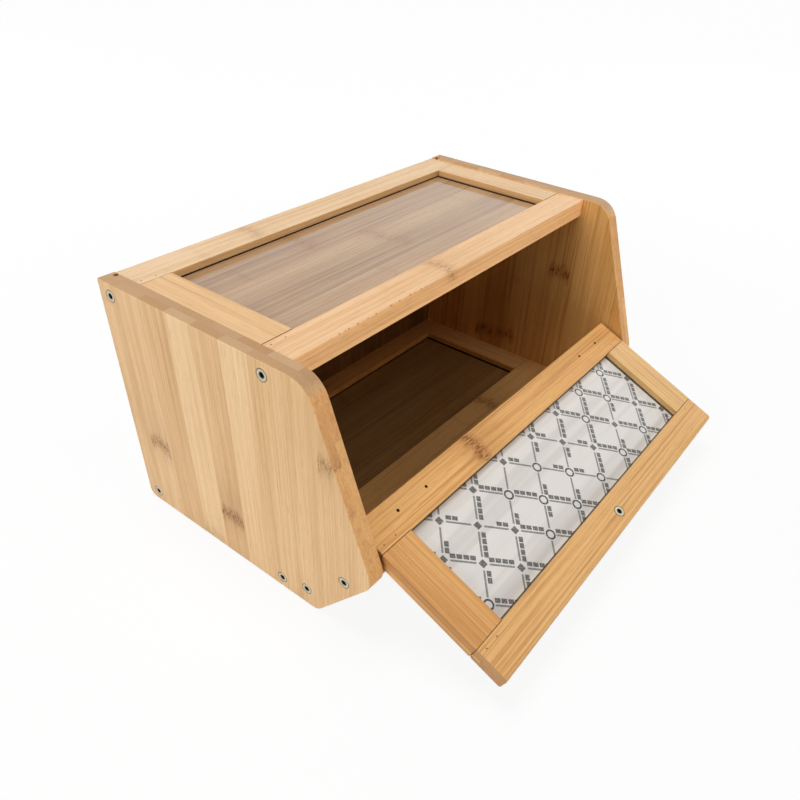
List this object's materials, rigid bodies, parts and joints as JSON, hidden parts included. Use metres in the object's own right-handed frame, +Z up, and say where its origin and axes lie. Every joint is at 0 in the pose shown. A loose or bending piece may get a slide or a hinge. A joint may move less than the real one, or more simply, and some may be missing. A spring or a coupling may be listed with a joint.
{
  "type": "bread box with drop-down door",
  "caption": "Bamboo bread box with flat side panels, a panelled top and a sloping front closed by a framed window door that drops open on pins in the sides.",
  "frame": {"origin": "on the surface the box stands on, under the middle of the box and its open door", "axes": "+X to the right seen from the front, the front and its open door face -Y, +Z up"},
  "size_m": [0.4, 0.3448, 0.2],
  "materials": {
    "side_bamboo": "lacquered vertical bamboo strips, satin",
    "frame_bamboo": "lacquered bamboo, satin",
    "panel_bamboo": "lacquered thin bamboo board, satin",
    "door_bamboo": "lacquered bamboo, satin",
    "knob_wood": "turned bamboo, lacquered",
    "window_plastic": "clear acrylic pane",
    "film_plastic": "thin translucent protective film, plain",
    "screw_steel": "nickel plated",
    "brad_steel": "plain steel, darkened ends",
    "pin_steel": "ground steel rod"
  },
  "bodies": {
    "case": {"left_side_panel": "side_bamboo", "right_side_panel": "side_bamboo", "top_rear_rail": "frame_bamboo", "top_front_rail": "frame_bamboo", "top_left_stile": "frame_bamboo", "top_right_stile": "frame_bamboo", "top_panel": "panel_bamboo", "top_frame_brads": "brad_steel", "top_frame_screws": "screw_steel", "bottom_rear_rail": "frame_bamboo", "bottom_front_rail": "frame_bamboo", "bottom_left_stile": "frame_bamboo", "bottom_right_stile": "frame_bamboo", "bottom_panel": "panel_bamboo", "bottom_frame_brads": "brad_steel", "bottom_frame_screws": "screw_steel", "back_panel": "panel_bamboo", "lower_front_board": "frame_bamboo", "front_board_screws": "screw_steel"},
    "door": {"door_hinge_rail": "door_bamboo", "door_top_rail": "door_bamboo", "door_left_stile": "door_bamboo", "door_right_stile": "door_bamboo", "door_window": "window_plastic", "window_film": "film_plastic", "door_knob": "knob_wood", "knob_screw": "screw_steel", "left_pivot_pin": "pin_steel", "right_pivot_pin": "pin_steel", "pivot_lock_brads": "brad_steel", "door_brads": "brad_steel"}
  },
  "joints": [
    {"name": "door_hinge", "type": "hinge", "parent": "case", "child": "door", "pos_m": [0, -0.05392, 0.078], "axis": [1, 0, 0], "range_deg": [-134.4, 0]}
  ]
}
